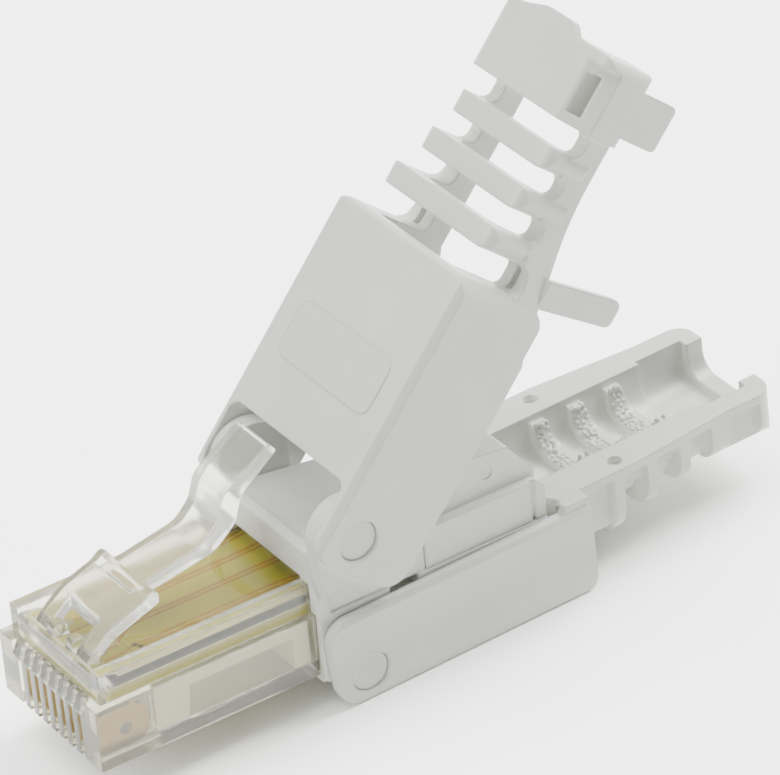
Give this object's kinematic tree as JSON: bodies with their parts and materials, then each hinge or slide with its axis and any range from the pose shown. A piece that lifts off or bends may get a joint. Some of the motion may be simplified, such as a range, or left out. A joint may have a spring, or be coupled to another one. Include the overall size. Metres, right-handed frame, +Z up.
{
  "type": "rj45 modular plug",
  "caption": "Toolless modular plug with a clear nose and latch, a terminal block under a wire cap, and two hinged covers that clamp the cable.",
  "frame": {"origin": "surface that the plug rests on, under the middle of the lower cover's flat underside", "axes": "+X from the nose to the cable tail, +Z up on the latch side, +Y across the plug; XZ is the middle plane"},
  "size_m": [0.053, 0.0144, 0.0374],
  "materials": {
    "clear_plastic": "clear polycarbonate, polished",
    "white_plastic": "moulded ABS, satin",
    "board": "glass-epoxy laminate under clear mask",
    "gold_contact": "gold-plated phosphor bronze",
    "tinned_blade": "tin-plated phosphor bronze"
  },
  "bodies": {
    "plug": {"nose_shell": "clear_plastic", "contact_carrier": "white_plastic", "circuit_board": "board", "terminal_housing": "white_plastic", "wire_cap": "white_plastic", "plug_contact_1": "gold_contact", "plug_contact_2": "gold_contact", "plug_contact_3": "gold_contact", "plug_contact_4": "gold_contact", "plug_contact_5": "gold_contact", "plug_contact_6": "gold_contact", "plug_contact_7": "gold_contact", "plug_contact_8": "gold_contact", "terminal_blade_1": "tinned_blade", "terminal_blade_2": "tinned_blade", "terminal_blade_3": "tinned_blade", "terminal_blade_4": "tinned_blade", "terminal_blade_5": "tinned_blade", "terminal_blade_6": "tinned_blade", "terminal_blade_7": "tinned_blade", "terminal_blade_8": "tinned_blade"},
    "latch": {"latch_lever": "clear_plastic"},
    "upper_cover_body": {"upper_cover": "white_plastic"},
    "lower_cover_body": {"lower_cover": "white_plastic"}
  },
  "joints": [
    {"name": "upper_cover_hinge", "type": "hinge", "parent": "plug", "child": "upper_cover_body", "pos_m": [-0.00982, 0, 0.01202], "axis": [0, -1, 0], "range_deg": [-47.7, 8]},
    {"name": "lower_cover_hinge", "type": "hinge", "parent": "plug", "child": "lower_cover_body", "pos_m": [-0.01015, 0, 0.00205], "axis": [0, -1, 0], "range_deg": [-75, 0]},
    {"name": "latch_hinge", "type": "hinge", "parent": "plug", "child": "latch", "pos_m": [-0.02732, 0, 0.00914], "axis": [0, 1, 0], "range_deg": [0, 12], "stiffness_Nm_per_rad": 0.01}
  ]
}
